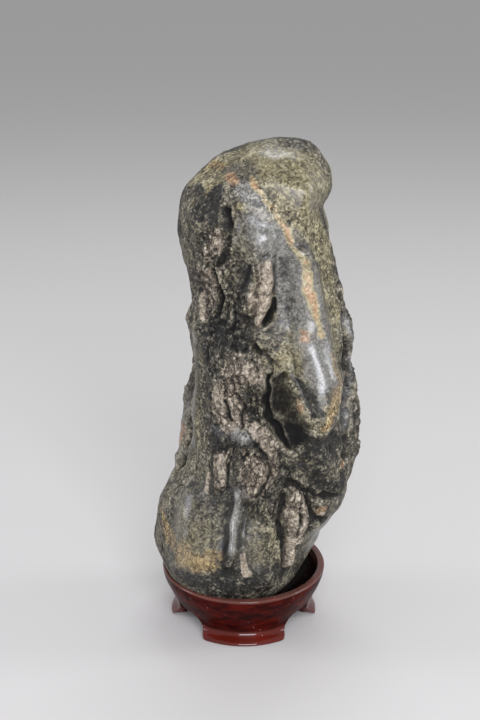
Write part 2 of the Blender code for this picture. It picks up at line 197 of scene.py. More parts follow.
stone = {
    # level sections: height, left, right, front and back, in mm from the stand's axis
    "sections": [
        (10.0, -4.0, -4.0, -3.0, -3.0), (11.0, -14.0, 6.5, -16.0, 12.0), (15.0, -26.0, 16.5, -30.5, 26.0),
        (20.0, -32.5, 22.8, -38.3, 33.0), (26.0, -37.6, 27.2, -43.2, 38.0), (37.0, -42.4, 32.0, -46.0, 42.0),
        (48.0, -41.0, 36.8, -45.4, 43.0), (56.0, -39.4, 44.2, -44.4, 42.5), (62.0, -37.2, 47.6, -43.2, 41.5),
        (68.0, -33.0, 47.6, -42.0, 40.5), (75.0, -28.0, 50.6, -40.5, 39.0), (87.0, -25.6, 52.2, -38.0, 35.0),
        (102.0, -25.0, 51.6, -35.8, 31.0), (115.0, -24.0, 49.0, -34.0, 28.5),
        (127.0, -22.8, 46.6, -32.8, 27.0), (139.0, -25.8, 48.8, -31.8, 27.0),
        (149.0, -26.8, 46.8, -31.2, 28.5), (156.0, -24.0, 45.0, -31.2, 30.0),
        (166.0, -25.0, 42.4, -32.0, 32.0), (177.0, -28.6, 40.0, -33.4, 34.0),
        (189.0, -30.6, 38.2, -34.2, 35.0), (200.0, -29.6, 36.6, -33.6, 34.0),
        (208.0, -25.4, 40.0, -31.8, 32.0), (215.0, -18.2, 39.0, -28.6, 28.0),
        (221.0, -8.8, 35.2, -23.6, 22.0), (225.5, 0.5, 30.8, -17.5, 15.0), (228.2, 10.5, 26.5, -9.0, 7.0),
        (229.4, 20.0, 20.0, -1.0, -1.0)],
    # forms on the front along paths: height, sharpness of the edge, points of (x, z, half width)
    "frontLobes": {
        "shoulder": (5.5, 1.4, [(-18, 209, 9.5), (-18.5, 199, 12), (-17.5, 188, 10.5), (-16, 177, 5.5)]),
        "knob": (3.0, 2.0, [(26, 222, 12), (28, 213, 12)]),
        "upperArm": (6.5, 1.6, [(25, 210, 12), (22, 194, 13), (25, 176, 12)]),
        "arm": (10.5, 1.1, [(22.5, 184, 7), (26, 171, 11), (29.5, 155, 12.5), (31.5, 139, 13),
                            (32.5, 123, 12.5), (32.5, 109, 11.5), (31, 102, 8)]),
        "forearm": (7.5, 1.2, [(13.5, 134, 2), (17.5, 126, 4.5), (21, 116, 6.5), (25.5, 105, 9),
                               (30.5, 94, 11.5), (33.5, 86, 9.5)]),
        "heart": (7.5, 1.3, [(6, 189, 12), (5.5, 181, 12), (2.5, 169, 10.5), (1, 158, 8)]),
        "heartRidge": (9.5, 1.3, [(3, 172, 3.2), (4.5, 164, 4), (4, 157, 3.5)]),
        "tongue": (9.0, 0.8, [(8.5, 180, 3.5), (9, 172, 4.8), (8.8, 163, 4.8), (8, 156, 3.8),
                              (7, 152.5, 2.8)]),
        "column": (3.5, 2.0, [(-18, 172, 7.5), (-18.5, 159, 7.5), (-18.5, 148, 8), (-17, 139, 8)]),
        "face": (6.5, 1.5, [(-3.5, 143, 12), (-5, 128, 17), (-6.5, 113, 18.5), (-5.5, 100, 20),
                            (-2.5, 87, 20)]),
        "edge": (4.0, 2.0, [(-23.5, 131, 4), (-23.5, 118, 5), (-24.5, 97, 5.5), (-24.5, 85, 5),
                            (-25, 75, 4.5)]),
        "foot": (5.5, 2.0, [(-25, 67, 15), (-25.5, 55, 18), (-23, 45, 17)]),
        "rib": (7.5, 1.3, [(-0.5, 76, 3), (-2, 68, 4), (-3.5, 60, 5), (-5, 51, 5), (-6, 44, 4)]),
        "instep": (4.5, 2.0, [(8, 72, 8.5), (8.5, 57, 10), (8, 41, 9.5)]),
        "flakeLobe": (6.0, 1.2, [(24, 72, 4.5), (25, 62, 7), (23, 48, 6), (20.5, 39, 4)]),
        "hip": (5.0, 1.4, [(43.5, 72, 6), (37, 67, 4.5)])},
    # wide forms that the others ride on, in the same terms
    "frontSwells": {
        "belly": (5.0, 1.6, [(31, 122, 19), (32, 111, 17)])},
    # cuts along paths: depth, points
    "frontGrooves": {
        "shoulderFissure": (2.0, [(-8, 203, 1.6), (-8, 197, 2.2), (-7.5, 189, 1.8), (-8, 183, 1.6),
                                  (-10.5, 178, 1.2)]),
        "columnFissure": (4.5, [(-12.5, 175, 1.2), (-11.5, 168, 1.8), (-11, 161, 1.6), (-12, 153, 1.2)]),
        "tongueCave": (5.5, [(13.6, 163, 0.9), (13.2, 158, 1.5), (12, 154.5, 1.8), (10.4, 151.5, 1.3)]),
        "tongueSide": (1.2, [(12, 182, 1.2), (13.5, 174, 1.5), (13.5, 165, 1.5)]),
        "armSide": (1.0, [(15, 180, 1.6), (16.5, 172, 2.6), (18.5, 163, 3.4), (20.5, 154, 3.0)]),
        "mainCleft": (8.0, [(11.5, 134, 0.6), (12.6, 130.5, 1.2), (11.6, 126, 0.9), (12.3, 121.5, 1.8),
                            (11, 117, 1.4), (12.2, 112, 2.3), (13.2, 107.5, 1.6), (15.6, 103.5, 2.4),
                            (17.2, 100, 1.6), (20.3, 96.8, 1.8), (22.5, 94, 0.8)]),
        "cleftSlope": (6.0, [(16.5, 128, 2.5), (17, 121, 4.2), (17.5, 113, 4.8), (20, 106, 4.6),
                             (23.5, 100, 3.4)]),
        "armCrossing": (1.6, [(2.5, 146, 0.8), (6, 142, 1.0), (10.5, 139, 1.1), (13, 136, 1.1),
                              (16.5, 129, 1.2), (19, 126, 0.9)]),
        "hipCrack": (5.0, [(19.5, 80.5, 0.7), (22.5, 78.8, 1.4), (25.5, 76.2, 1.0), (29.5, 75.2, 1.9),
                           (33, 72, 1.3), (37, 71, 2.0), (42, 67, 1.0)]),
        "flakeRight": (2.8, [(27, 73, 1.2), (30.5, 68, 1.5), (32, 62, 1.6), (36, 57, 1.6)]),
        "flakeLeft": (2.4, [(17.5, 73, 1.4), (16, 63, 1.8), (18.5, 51, 1.8), (19, 39, 1.6)]),
        "armBack": (3.5, [(43.5, 158, 2), (45.5, 141, 2.2), (46.5, 122, 2.5), (46.5, 104, 2.5),
                          (46.5, 88, 2.2)]),
        "ribValley": (1.0, [(-6.5, 69, 2.5), (-9, 58, 2.6), (-8, 49, 2.6), (-6, 38, 2.5)])},
    # forms on the sides and back: points of (turn from the front in degrees, z, half width)
    "sideLobes": {
        "rightRidge": (3.0, 2.0, [(88, 152, 9), (96, 128, 12), (98, 104, 14), (96, 84, 13), (92, 70, 9)]),
        "leftButtress": (8.5, 2.0, [(-112, 128, 7), (-108, 112, 11), (-106, 92, 12), (-104, 74, 13)]),
        "spine": (8.0, 1.6, [(158, 208, 14), (165, 182, 15), (182, 150, 14), (200, 118, 15), (208, 86, 18),
                             (200, 56, 21)]),
        "rightShoulder": (6.0, 1.7, [(112, 196, 15), (124, 172, 14), (134, 140, 12), (140, 112, 12)]),
        "rightHaunch": (6.0, 1.7, [(150, 92, 13), (142, 66, 20), (132, 44, 18)]),
        "leftShoulder": (6.0, 1.7, [(-138, 206, 15), (-122, 184, 17), (-118, 160, 12)]),
        "leftHaunch": (5.0, 2.0, [(-120, 64, 18), (-134, 44, 19)]),
        "cheek": (4.0, 1.8, [(66, 192, 11), (82, 172, 13), (88, 156, 10)]),
        "heel": (4.0, 2.0, [(70, 50, 16), (90, 42, 19), (104, 50, 15)])},
    "sideGrooves": {
        "backHollow": (8.0, [(146, 176, 4), (158, 160, 8), (170, 136, 9), (168, 116, 7), (160, 98, 4)]),
        "backCleft": (6.5, [(-158, 196, 3), (-148, 176, 5), (-152, 152, 7), (-142, 130, 6), (-148, 104, 3)]),
        "rightCleft": (6.5, [(105, 165, 1.8), (110, 153, 4.2), (116, 141, 3.2), (110, 128, 4.8),
                             (114, 113, 2.6), (122, 98, 4.6), (117, 84, 2.8), (115, 73, 1.6)]),
        "leftSlot": (7.5, [(-90, 129, 1.6), (-84, 119, 3.4), (-88, 108, 2.6), (-84, 97, 4.8), (-90, 87, 3.2),
                           (-87, 78, 3.4), (-94, 68, 1.4)]),
        "leftHollow": (6.0, [(-88, 172, 3), (-98, 156, 6), (-94, 142, 5)]),
        "upperPit": (5.0, [(214, 158, 5), (220, 150, 4)]),
        "lowerPit": (5.0, [(118, 92, 4), (128, 84, 6)]),
        "lowFissure": (4.0, [(176, 84, 3), (170, 66, 5), (178, 50, 4), (172, 38, 2)])},
    # where plates have broken away, as one path in front and one by turn
    "frontFlaking": [(-13, 188, 9), (-14, 165, 9), (-7, 148, 12), (-4, 118, 16), (0, 88, 18), (22, 68, 13),
                     (28, 62, 10)],
    "sideFlaking": [(98, 150, 12), (102, 100, 20), (160, 124, 22), (212, 140, 22), (250, 120, 16)],
    # small plates, with a flat top and a sharp edge, that only this surface has
    "plates": {
        "upperLeft": (1.3, [(-7.5, 123, 1.8), (-9.5, 117, 2.6), (-8, 112, 1.6)]),
        "lowerLeft": (1.5, [(-10.5, 111, 1.2), (-8, 108, 2.0), (-5.5, 105.5, 2.2)]),
        "upperRight": (1.4, [(-4, 122, 1.8), (-2.5, 115, 2.3), (-3, 109, 1.5)]),
        "onTop": (1.0, [(-6, 130, 2.2), (-3.5, 131, 2.4)]),
        "cheekPlate": (1.2, [(4, 131, 3.2), (6.5, 127, 3.4), (5, 122, 1.8)]),
        "long": (1.4, [(5, 105, 2.0), (9, 101, 3.4), (12, 94, 2.6), (15, 88, 1.2)]),
        "polygon": (1.7, [(6, 88, 3.2), (8, 83, 4.2), (5.5, 77, 2.4)]),
        "left": (1.3, [(-9, 89, 3.2), (-8.5, 82, 3.6), (-10.5, 77, 2.4)]),
        "chip": (1.3, [(-16.5, 79, 1.2), (-16.5, 73, 1.2)]),
        "toePlate": (1.0, [(0.5, 47, 1.4), (1.2, 39, 1.8)]),
        "heelPlate": (1.1, [(19.5, 50, 1.6), (20.5, 43, 2.0), (20, 37, 1.6)]),
        "lobeLeft": (1.3, [(22, 74, 1.8), (21.5, 66, 2.6), (22.5, 58, 2.2)]),
        "lobeRight": (1.4, [(27, 68, 1.8), (27.5, 60, 2.6), (25.5, 53, 2.0)]),
        "armScar": (0.7, [(22, 118, 1.0), (23, 112, 1.4)])},
    # narrow cracks between the plates: depth, points
    "cracks": {
        "jagged": (2.2, [(-3.5, 126, 0.6), (-2, 120, 0.7), (0.2, 115, 0.9), (-0.8, 110, 0.8),
                         (-1, 105, 0.6)]),
        "betweenPlates": (1.8, [(-7, 116, 0.7), (-6, 111, 0.9), (-4.8, 108, 0.6)]),
        "besideLong": (1.6, [(3, 101, 0.6), (6, 96, 0.7), (10, 90, 0.6)]),
        "polygonEdge": (2.0, [(5, 92, 0.6), (10, 89, 0.8), (12, 84, 0.8), (10, 80, 0.8), (6, 74, 0.9)]),
        "flute": (1.2, [(-3.5, 91, 0.8), (-4, 84, 1.0), (-5.5, 76, 0.8)]),
        "secondFlute": (1.0, [(-5.5, 93, 0.6), (-6, 84, 0.8), (-7.5, 76, 0.7)]),
        "fissureHead": (2.0, [(-7, 202, 1.2), (-6, 197, 1.2)]),
        "leftStreak": (1.4, [(-15.5, 139, 0.9), (-14, 133, 1.1), (-11.5, 126, 0.8)]),
        "belowTongue": (1.8, [(-4, 155, 0.8), (-4.5, 149, 1.2)]),
        "cleftHead": (2.0, [(0, 145, 0.6), (5, 142, 0.9), (8.5, 139, 0.9)]),
        "cleftEdge": (1.6, [(4, 136, 0.6), (6, 133, 0.8), (8, 130, 0.6)]),
        "hipFanA": (1.8, [(28, 74, 0.6), (35, 74, 0.8), (42, 73, 0.7)]),
        "hipFanB": (1.6, [(27, 73, 0.6), (33, 70.5, 0.8), (39, 66, 0.7)]),
        "lobeSplit": (2.0, [(24, 72, 0.6), (25, 64, 0.9), (24, 55, 0.8)]),
        "ribEdge": (0.5, [(2.5, 73, 0.6), (1.5, 62, 0.8), (1, 50, 0.7)]),
        "knobFold": (0.5, [(13, 226, 2.0), (20, 215, 2.6), (30, 203, 2.4)]),
        "bluePatch": (1.2, [(1.5, 178, 0.9), (0, 168, 1.2), (-1, 160, 1.2)])},
    # narrow crests: height, points
    "ridges": {
        "glossRidge": (1.4, [(3, 178, 1.4), (4.3, 170, 1.9), (3.6, 158, 1.5)]),
        "ribCrest": (1.3, [(-0.5, 75, 1.8), (-2.5, 64, 2.6), (-5, 50, 2.2)]),
        "faceGloss": (1.0, [(-3.5, 101.5, 2.0), (1.5, 101, 2.0)])},
    # what each part of the surface is made of, as paths with half widths, in front and then by turn; some
    # black and blue-grey paths are painted shade, highlight and sheen
    "zones": {
        "khaki": [[(-22, 212, 5), (-11, 219, 6), (5, 226, 9), (17, 223, 11), (27, 219, 12), (32, 208, 11)],
                  [(15, 214, 8), (24, 205, 8), (31, 192, 8), (36, 180, 7), (38, 166, 6), (40, 152, 5)],
                  [(-3, 204, 2), (4, 203, 2.5), (11, 201, 2.5)], [(24, 148, 5), (20, 134, 5)],
                  [(39, 146, 3), (39, 112, 4)], [(-12, 214, 4), (-20, 204, 3)]],
        "olive": [[(-30, 60, 7), (-26, 47, 9), (-14, 55, 8)], [(6, 66, 7), (9, 48, 9)],
                  [(17, 126, 4), (22, 108, 5)], [(28, 92, 5), (37, 86, 5)], [(20, 140, 5), (26, 128, 5)],
                  [(-21, 118, 3), (-21, 92, 3)], [(22, 164, 3), (26, 150, 3)], [(27, 106, 4), (33, 102, 3)]],
        # blue-grey: the arm's and heart's own grain; the paths down the rib and low on the face are that
        # grain with a painted highlight, and the last, on the arm's right flank, is a painted sheen
        "blueGrey": [[(-1, 211, 4), (4, 207, 4), (6, 197, 7), (13, 188, 8), (20, 172, 7), (25, 156, 8),
                      (29, 140, 6), (29.5, 124, 4)], [(-0.5, 76, 1.8), (-2.5, 64, 2.8), (-5, 50, 2.2)],
                     [(-14, 101, 2.2), (-3.5, 102, 3), (2, 101, 3)],
                     [(45, 150, 1.4), (46.5, 125, 1.6), (47, 100, 1.6)]],
        "vein": [[(3, 216, 1.0), (5, 211, 1.2), (9.5, 206, 1.3), (13, 202, 1.4), (17, 197, 1.4),
                  (19.5, 190, 1.4), (21.5, 183, 1.4), (23, 176, 1.5), (24.5, 168, 1.7), (27, 160, 1.7),
                  (29.5, 152, 1.4), (31, 146, 1.0)]],
        "orange": [[(-7, 216, 1.8), (-4.5, 213.5, 2.2)], [(4.5, 213, 1.2), (8, 208, 1.2)],
                   [(24.5, 148, 1.5), (25, 144.5, 1.3)], [(34, 64, 2), (36.5, 64, 1.8)],
                   [(45, 86, 1.4), (44.5, 82, 1.2)], [(22.5, 117, 1.0), (23, 112, 1.0)]],
        "yellow": [[(-15, 217, 2.6), (-10, 218, 2.2)], [(-38.5, 55, 1.8), (-36, 49, 3), (-32, 46, 3.8)],
                   [(-28, 44.5, 5.4), (-21, 42.5, 5.8)], [(-16, 44, 4.8), (-12, 46, 3.4)],
                   [(35.5, 138, 1.4), (36, 126, 2.4), (34.5, 114, 2.6), (31.5, 104, 1.6)]],
        "tan": [[(8.5, 178, 2.6), (8.8, 165, 4.0), (7, 152, 2.6)],
                [(-11, 192, 2.4), (-10, 187, 2.6), (-14, 185, 2.4)],
                [(-16, 173, 3.5), (-16, 160, 3.5), (-17, 153, 3)],
                [(-7.5, 123, 2.6), (-9.5, 116, 3.4), (-6, 106, 3)], [(-3.5, 121, 1.8), (-2.5, 111, 2)],
                [(5.5, 104, 2.4), (10, 99, 3.2), (13, 92, 2.4)],
                [(6.5, 88, 4.2), (7, 82, 5), (5.5, 77, 3.4)], [(-9, 89, 3.4), (-9, 80, 3.4)],
                [(22.5, 75, 3), (24, 65, 4.5), (24, 54, 3.4)], [(-2, 136, 3), (-3, 130, 3.4), (5, 129, 4)],
                [(-5, 121, 3.6), (-3, 108, 3.6)], [(7, 84, 6)], [(-16.5, 79, 1.6), (-16.5, 73, 1.4)],
                [(0.5, 47, 1.3), (1.2, 39, 1.5)], [(20, 49, 1.6), (20, 38, 1.6)]],
        # black: the rock's black patches; the paths along the shoulder fissure, beside the cleft, under the
        # arm's end and the hip, and round the stone's foot are also painted shade
        "black": [[(-16.5, 200, 3.4), (-13.5, 199, 2.6)], [(-19, 208, 3), (-19, 199, 3)],
                  [(-11, 209, 3), (-14, 204, 3)], [(-7.5, 202, 1.8), (-7.5, 196, 2)],
                  [(1, 177, 2.2), (0, 166, 2.6), (-1, 160, 1.6)],
                  [(-18, 147, 3.5), (-8, 147, 5), (0, 144, 4)], [(-16, 140, 2.2), (-12, 127, 2.2)],
                  [(22.5, 126, 1.6), (25.5, 119, 2.4), (29, 112, 2.4)], [(20, 104, 2.2), (23, 103, 2)],
                  [(36, 100, 2.2), (42, 97, 2.2)], [(34, 77, 3), (43, 73, 3)],
                  [(-8, 52, 2.5), (-8, 44, 4), (-6, 33, 6)],
                  [(-30, 33, 3), (-24, 31, 4.5), (-14, 32, 6), (-2, 34, 7), (10, 35, 7), (20, 35, 5)],
                  [(-14, 96, 3), (-9, 95, 2.6)], [(22, 99, 4), (29, 95, 6), (37, 92, 6), (33, 85, 5)]],
        "polished": [[(-4, 218, 7), (12, 222, 10), (27, 216, 12)],
                     [(4, 193, 7), (14, 188, 8), (24, 172, 9), (29, 150, 11), (31, 125, 9)],
                     [(-3.5, 102.5, 2.6), (2, 101.5, 2.6)], [(-24, 64, 10), (-25, 48, 12)],
                     [(4, 52, 4), (4, 42, 5)], [(-1.5, 78, 4), (-3, 64, 6), (-5, 50, 6)],
                     [(44.5, 152, 3), (46, 130, 3.5), (46.5, 100, 3.5)],
                     [(-23.5, 142, 2.5), (-24, 90, 3.2)]]},
    "sideZones": {
        "olive": [[(110, 190, 12), (130, 150, 14)], [(-130, 180, 12), (-120, 150, 10)],
                  [(120, 50, 16), (150, 70, 12)], [(-110, 60, 16)]],
        "khaki": [[(150, 222, 12), (210, 216, 10)], [(96, 206, 11), (104, 188, 7)], [(-70, 214, 7)]],
        "blueGrey": [[(160, 196, 9), (178, 160, 9), (200, 122, 8)], [(-125, 190, 8), (-120, 165, 7)]],
        "vein": [[(120, 214, 1.8), (140, 200, 2.4), (160, 176, 2.2), (168, 160, 1.8)],
                 [(228, 150, 1.6), (222, 118, 2.4), (214, 92, 2)]],
        "orange": [[(140, 128, 3), (146, 112, 2.4)], [(-100, 92, 3), (-104, 80, 2.4)]],
        "yellow": [[(150, 50, 5), (168, 44, 6), (184, 48, 4)], [(-96, 46, 4), (-110, 40, 5)], [(92, 44, 5)]],
        "tan": [[(86, 112, 3), (90, 97, 3.4), (92, 87, 2.4)], [(104, 138, 4), (102, 118, 4)],
                [(100, 98, 4), (104, 84, 4)], [(164, 122, 6), (158, 108, 5)], [(214, 138, 6)],
                [(-112, 122, 5)], [(188, 84, 5), (182, 70, 5)]],
        "black": [[(-160, 150, 6), (-150, 120, 5)], [(128, 62, 8)], [(176, 30, 9), (220, 34, 8)],
                  [(-84, 205, 5), (-80, 190, 5)], [(140, 150, 6)], [(250, 90, 7)]],
        "polished": [[(110, 205, 10), (130, 180, 10), (140, 120, 9)],
                     [(158, 205, 11), (170, 178, 10), (200, 110, 11), (205, 70, 14)],
                     [(-130, 200, 11), (-118, 170, 10)], [(70, 50, 12), (95, 44, 13)], [(-120, 60, 14)],
                     [(142, 66, 13)], [(-106, 100, 7), (-104, 76, 8)]]},
    "seatedBelow": (24.0, 9.0),  # no relief below this height, and all of it this far above
    "lobeBlend": 1.0,  # how softly the forms run together, mm
    "lumps": [(26.0, 1.6, 11), (11.0, 1.0, 23), (5.5, 0.4, 37)],  # size, height, seed
    "wander": (11.0, 1.3, 3.6, (3, 5, 7)),  # how the forms waver: size, reach in front and behind, seeds
    "grooveWander": (4.2, 1.0, 0.25, (13, 17, 19), 29),  # size, reach, share of the depth, seeds
    "grooveShape": (1.7, 2.2),  # how far a groove's walls spread, in half widths, and how they steepen
    "terraces": (9.0, 2.2, 1.1, 3.6, 0.3, 61),  # width, stretch upwards, step, number, riser's share, seed
    "plateForm": (0.5, 0.45),  # share of a plate's height, and how broken the seam round it is
    # broken plates of two sizes: width, stretch upwards, step, crack depth, seed
    "plateCells": [(5.5, 2.1, 0.6, 0.2, 101), (2.4, 1.9, 0.2, 0.1, 103)],
    "pits": (3.4, 0.7, 107),  # spacing, depth, seed
    "grain": [(2.6, 0.26, 71), (1.3, 0.15, 73)],  # size, height, seed
    "fray": (3.0, 0.7, (83, 89, 97)),  # how the small forms' edges waver: size, reach, seeds
    "turns": 344, "rings": 286, "frontDensity": 0.34, "crownDensity": 0.1}


def sectionLevels():
    # each section's level, 0 at the underside to 1 at the crown, by its distance along the surface
    s = np.array(stone["sections"])
    half = (s[:, 2] - s[:, 1] + s[:, 4] - s[:, 3]) / 4
    run = np.concatenate([[0.0], np.cumsum(np.hypot(np.diff(s[:, 0]), np.diff(half)))])
    return run / run[-1]


def plainBody(turn, level):
    # ellipses through the sections' left, front, right and back, stacked from the underside to the crown
    s = np.array(stone["sections"])
    levels = sectionLevels()
    z, left, right, front, back = (curveThrough(level, levels, s[:, k]) for k in range(5))
    x = (left + right) / 2 + (right - left) / 2 * np.sin(turn)
    y = (front + back) / 2 - (back - front) / 2 * np.cos(turn)
    return np.stack(np.broadcast_arrays(x, y, z), axis=-1)


def outward(turn, level):
    # unit normals: the cross product of the plain body's slopes along the turn and the level
    step = 0.002
    tiny = 1e-7  # at the two poles the slopes vanish, and the normal is straight up or down
    across = plainBody(turn + step, level) - plainBody(turn - step, level)
    along = plainBody(turn, np.clip(level + step, 0, 1)) - plainBody(turn, np.clip(level - step, 0, 1))
    normal = np.cross(across, along)
    length = np.linalg.norm(normal, axis=-1, keepdims=True)
    pole = np.zeros_like(normal)
    pole[..., 2] = np.where(level > 0.5, 1.0, -1.0)
    return np.where(length > tiny, normal / np.maximum(length, tiny), pole)


def placer():
    # finds the plain body's point at (x, z) on the front, or at a turn in degrees and a height
    turns = np.radians(np.arange(0, 360, 1.0))
    grid = plainBody(turns[:, None], np.linspace(0, 1, 600)[None, :])
    behind = np.where(np.cos(turns) > -0.1, 0, 1e9)[:, None]

    def onFront(x, z):
        # the nearest point of the half that faces forwards
        miss = (grid[..., 0] - x) ** 2 + (grid[..., 2] - z) ** 2 + behind
        return grid[np.unravel_index(np.argmin(miss), miss.shape)]

    def onSide(turn, z):
        # the nearest height at that turn
        column = grid[int(round(turn)) % 360]
        return column[np.argmin(np.abs(column[:, 2] - z))]

    return onFront, onSide


def nearPath(points, path, place):
    # how many half widths away a path is whose points are given as places on the plain body
    return pathDistance(points, [(place(a, z), wide) for a, z, wide in path])


def mainForms(turn, plain, onFront, onSide):
    # lobes joined by a soft maximum, grooves by the deepest, and the stair of broken plates
    size, reachFront, reachBack, seeds = stone["wander"]
    reach = reachFront + (reachBack - reachFront) * smoothStep(0.3, -0.3, np.cos(turn))
    at = plain + reach[..., None] * lumpShift(plain, size, seeds)

    # raised forms: a dome of the distance from the path, and the front ones fade out at the flanks
    facingFront = smoothStep(0.0, 0.45, np.abs(np.cos(turn)))
    raised = [np.zeros(plain.shape[:-1])]
    for lobes, place, share in ((stone["frontLobes"], onFront, facingFront),
                                (stone["sideLobes"], onSide, 1.0)):
        for height, edge, path in lobes.values():
            raised.append(height * np.clip(1 - nearPath(at, path, place) ** 2, 0, 1) ** edge * share)
    raised = np.stack(raised)
    top = raised.max(axis=0)
    blend = stone["lobeBlend"]
    top = top + blend * (np.log(np.exp((raised - top) / blend).sum(axis=0)) - math.log(len(raised)))

    # grooves: a bell of the distance from the path, ragged along its course and uneven in its bed
    size, reach, share, seeds, seed = stone["grooveWander"]
    spread, steepness = stone["grooveShape"]
    ragged = at + reach * lumpShift(plain, size, seeds)
    bed = 1 + share * lumps(plain, 2 * size, seed)
    cut = np.zeros(plain.shape[:-1])
    for grooves, place in ((stone["frontGrooves"], onFront), (stone["sideGrooves"], onSide)):
        for depth, path in grooves.values():
            t = np.clip(nearPath(ragged, path, place) / spread, 0, 1)
            cut = np.maximum(cut, depth * bed * (1 - t ** 2) ** steepness)

    uneven = sum(height * lumps(plain, size, seed) for size, height, seed in stone["lumps"])
    for height, edge, path in stone["frontSwells"].values():
        uneven = uneven + height * np.clip(1 - nearPath(at, path, onFront) ** 2, 0, 1) ** edge * facingFront

    # terraces: whole steps of a stretched field of lumps, where plates have broken away
    broken = [nearPath(at, stone["frontFlaking"], onFront), nearPath(at, stone["sideFlaking"], onSide)]
    flaking = smoothStep(1.15, 0.75, np.minimum(*broken))
    width, stretch, step, number, riser, seed = stone["terraces"]
    terrace = number * lumps(at / (1.0, 1.0, stretch), width, seed)
    stair = np.floor(terrace) + smoothStep(0.0, riser, terrace - np.floor(terrace))
    return at, top, cut, uneven + step * flaking * stair, flaking


def mineralShares(frayed, cut, onFront, onSide):
    # how far each zone's paths colour a place: all of it near the path, fading out to twice its half width
    shares = {}
    for name in stone["zones"]:
        share = np.zeros_like(cut)
        for paths, place in ((stone["zones"][name], onFront), (stone["sideZones"][name], onSide)):
            for path in paths:
                share = np.maximum(share, smoothStep(1.9, 0.3, nearPath(frayed, path, place)))
        shares[name] = share
    shares["polished"] = shares["polished"] * smoothStep(1.0, 0.1, cut)
    return shares


def stoneSurface(turn, level):
    # the plain body pushed along its normals by the main forms and then by plates, cracks, pits and grain
    plain = plainBody(turn, level)
    onFront, onSide = placer()
    at, top, cut, uneven, flaking = mainForms(turn, plain, onFront, onSide)
    size, reach, seeds = stone["fray"]
    frayed = at + reach * lumpShift(plain, size, seeds)
    shares = mineralShares(frayed, cut, onFront, onSide)

    # single plates: flat tops with a sharp edge and a broken seam just outside it
    small = np.zeros_like(cut)
    broken = np.zeros_like(cut)
    plated = np.zeros_like(cut)
    heightShare, seamShare = stone["plateForm"]
    for height, path in stone["plates"].values():
        t = nearPath(frayed, path, onFront)
        small += heightShare * height * smoothStep(1.15, 0.95, t)
        broken = np.maximum(broken, seamShare * smoothStep(0.2, 0.06, np.abs(t - 1.12)))
        plated = np.maximum(plated, smoothStep(1.1, 0.95, t))
    rough = (1 - 0.85 * shares["polished"]) * (1 - 0.75 * plated)  # little of it on rubbed parts and plates

    # the rest of the broken stone: cells at random heights with a crack round each
    for width, stretch, step, crack, seed in stone["plateCells"]:
        inside, worth, _ = cells(frayed / (1.0, 1.0, stretch), width, seed)
        seam = smoothStep(0.13, 0.02, inside)
        small += flaking * rough * (step * worth - crack * seam)
        broken = np.maximum(broken, seam * flaking * rough)
    for height, path in stone["ridges"].values():
        small += height * np.clip(1 - nearPath(frayed, path, onFront) ** 2, 0, 1) ** 1.5
    cracks = np.zeros_like(cut)
    for depth, path in stone["cracks"].values():
        cracks = np.maximum(cracks, depth * smoothStep(1.6, 0.2, nearPath(frayed, path, onFront)))
    spacing, depth, seed = stone["pits"]
    _, worth, middle = cells(frayed, spacing, seed)
    pits = depth * rough * smoothStep(0.42, 0.12, middle) * (worth > -0.1)
    grain = sum(height * lumps(frayed, size, seed) for size, height, seed in stone["grain"])

    low, blendUp = stone["seatedBelow"]
    free = smoothStep(low, low + blendUp, plain[..., 2])
    relief = (top - cut + uneven + small - cracks - pits + rough * grain) * free
    shares.update({
        # how deep a place lies in grooves, cracks and pits: rougher there, and darkened as painted shade
        "hollow": np.clip(cut / 5.5 + cracks / 3.2 + pits * 0.4, 0, 1) * free,
        "flaking": flaking,
        "broken": broken,
        "plated": plated,
        # the small relief's painted light and shade: raised places lighter, sunk places darker
        "worn": np.clip(0.5 + (relief - softened(relief, 3)) / 1.6, 0, 1),
        # painted shade in the wider recesses
        "paintedRecessShade": np.clip(0.5 - (relief - softened(relief, 11)) / 4.0, 0, 1)})
    return plain + outward(turn, level) * relief[..., None], shares


def buildStone():
    # rings at even levels, closer at the crown, with their points closer together at the front
    count, rings = stone["turns"], stone["rings"]
    k = np.arange(count) / count
    turn = 2 * np.pi * k - stone["frontDensity"] * np.sin(2 * np.pi * k)
    level = np.linspace(0, 1, rings)
    level = level + stone["crownDensity"] * np.sin(np.pi * level) * (1 - level)
    points, shares = stoneSurface(*np.meshgrid(turn, level))
    return closedSurface("natural_stone", points, shares)


stand = {
    "halfWidth": 39.1, "halfDepth": 46.8, "rim": 25.0, "lipCorner": 0.75, "seatGap": 0.45,
    # inside of the dish and outer wall, as (radius across, height)
    "dish": [(0.0, 8.6), (14.0, 9.0), (22.0, 10.8), (28.5, 14.6), (32.5, 18.4), (34.8, 22.0), (35.7, 24.3)],
    "wall": [(39.1, 24.3), (38.6, 21.2), (37.1, 17.4), (35.3, 13.8), (33.6, 10.6), (32.4, 8.2), (31.8, 6.2),
             (31.7, 5.0), (31.9, 4.1), (32.8, 3.1), (34.2, 2.0), (35.1, 1.1), (35.1, 0.4), (34.7, 0.0)],
    "hollowRadius": 28.0, "hollowTop": 5.6, "hollowTaper": 1.5, "archHeight": 10.5,
    "arches": ((55.5, 27.0), (180.0, 35.0), (-55.5, 27.0)),  # middle and reach of each, in degrees
    "carving": ((9.0, 0.22, 5), (3.2, 0.08, 6)),  # hollows left by the chisel: size, depth, seed
    "carvingInset": 0.12,  # the wall lies this far inside its profile, so that no high place passes it
    "turns": 360, "rings": {"dish": 46, "corner": 7, "wall": 74, "sole": 9, "side": 9, "roof": 16}}


